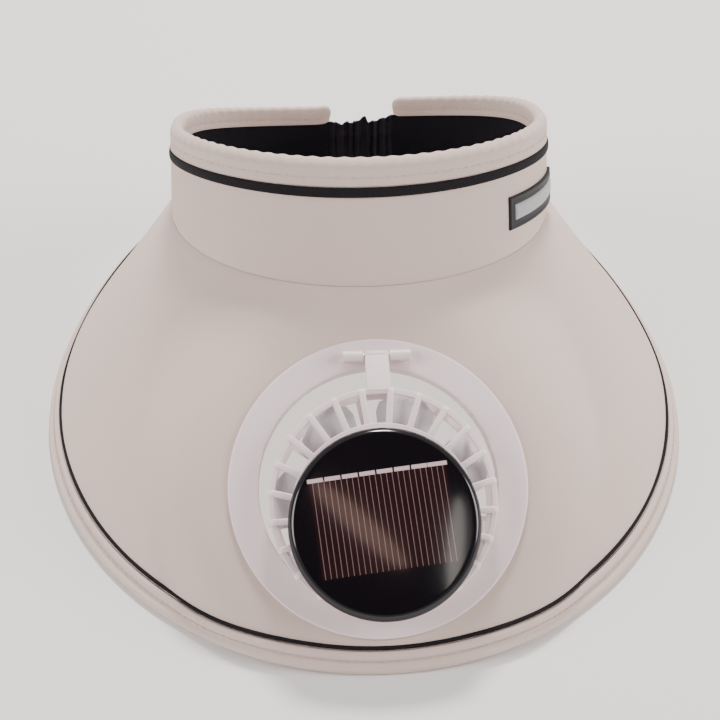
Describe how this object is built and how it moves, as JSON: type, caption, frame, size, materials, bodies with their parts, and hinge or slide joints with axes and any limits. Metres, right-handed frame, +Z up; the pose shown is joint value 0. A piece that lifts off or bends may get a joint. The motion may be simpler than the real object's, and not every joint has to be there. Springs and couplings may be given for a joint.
{
  "type": "fan visor",
  "caption": "Open-topped sun visor with a wide sloping brim and a hinged solar fan set in the front of the brim.",
  "frame": {"origin": "centre of the bounding box, on the floor that the brim's rim rests on", "axes": "-Y is the front of the visor, where the fan is, +Z is up and +X is the wearer's left"},
  "size_m": [0.3094, 0.3174, 0.1544],
  "materials": {
    "greige_fabric": "matt woven",
    "black_lining": "matt",
    "black_piping": "matt cord",
    "patch_black": "matt",
    "patch_grey": "matt",
    "white_plastic": "satin",
    "blade_plastic": "satin",
    "cap_black": "high gloss",
    "cell_dark": "gloss",
    "steel": "satin"
  },
  "bodies": {
    "visor": {"crown_band": "greige_fabric", "crown_lining": "black_lining", "top_roll": "greige_fabric", "top_piping": "black_piping", "back_elastic": "black_lining", "side_patch": "patch_black", "patch_panel": "patch_grey", "brim": "greige_fabric", "brim_binding": "greige_fabric", "brim_piping": "black_piping", "fan_ring": "white_plastic", "ring_backing": "white_plastic", "hinge_pin": "steel"},
    "fan": {"cage_front": "white_plastic", "cage_back": "white_plastic", "motor": "steel", "solar_cap": "cap_black", "solar_cell": "cell_dark"},
    "impeller": {"impeller": "blade_plastic"}
  },
  "joints": [
    {"name": "fan_tilt", "type": "hinge", "parent": "visor", "child": "fan", "pos_m": [0.0013, -0.06009, 0.08872], "axis": [-1, 0, 0], "range_deg": [0, 120]},
    {"name": "impeller_spin", "type": "hinge", "parent": "fan", "child": "impeller", "pos_m": [0.0013, -0.10792, 0.04943], "axis": [0, -0.6347, 0.7728], "continuous": true}
  ]
}
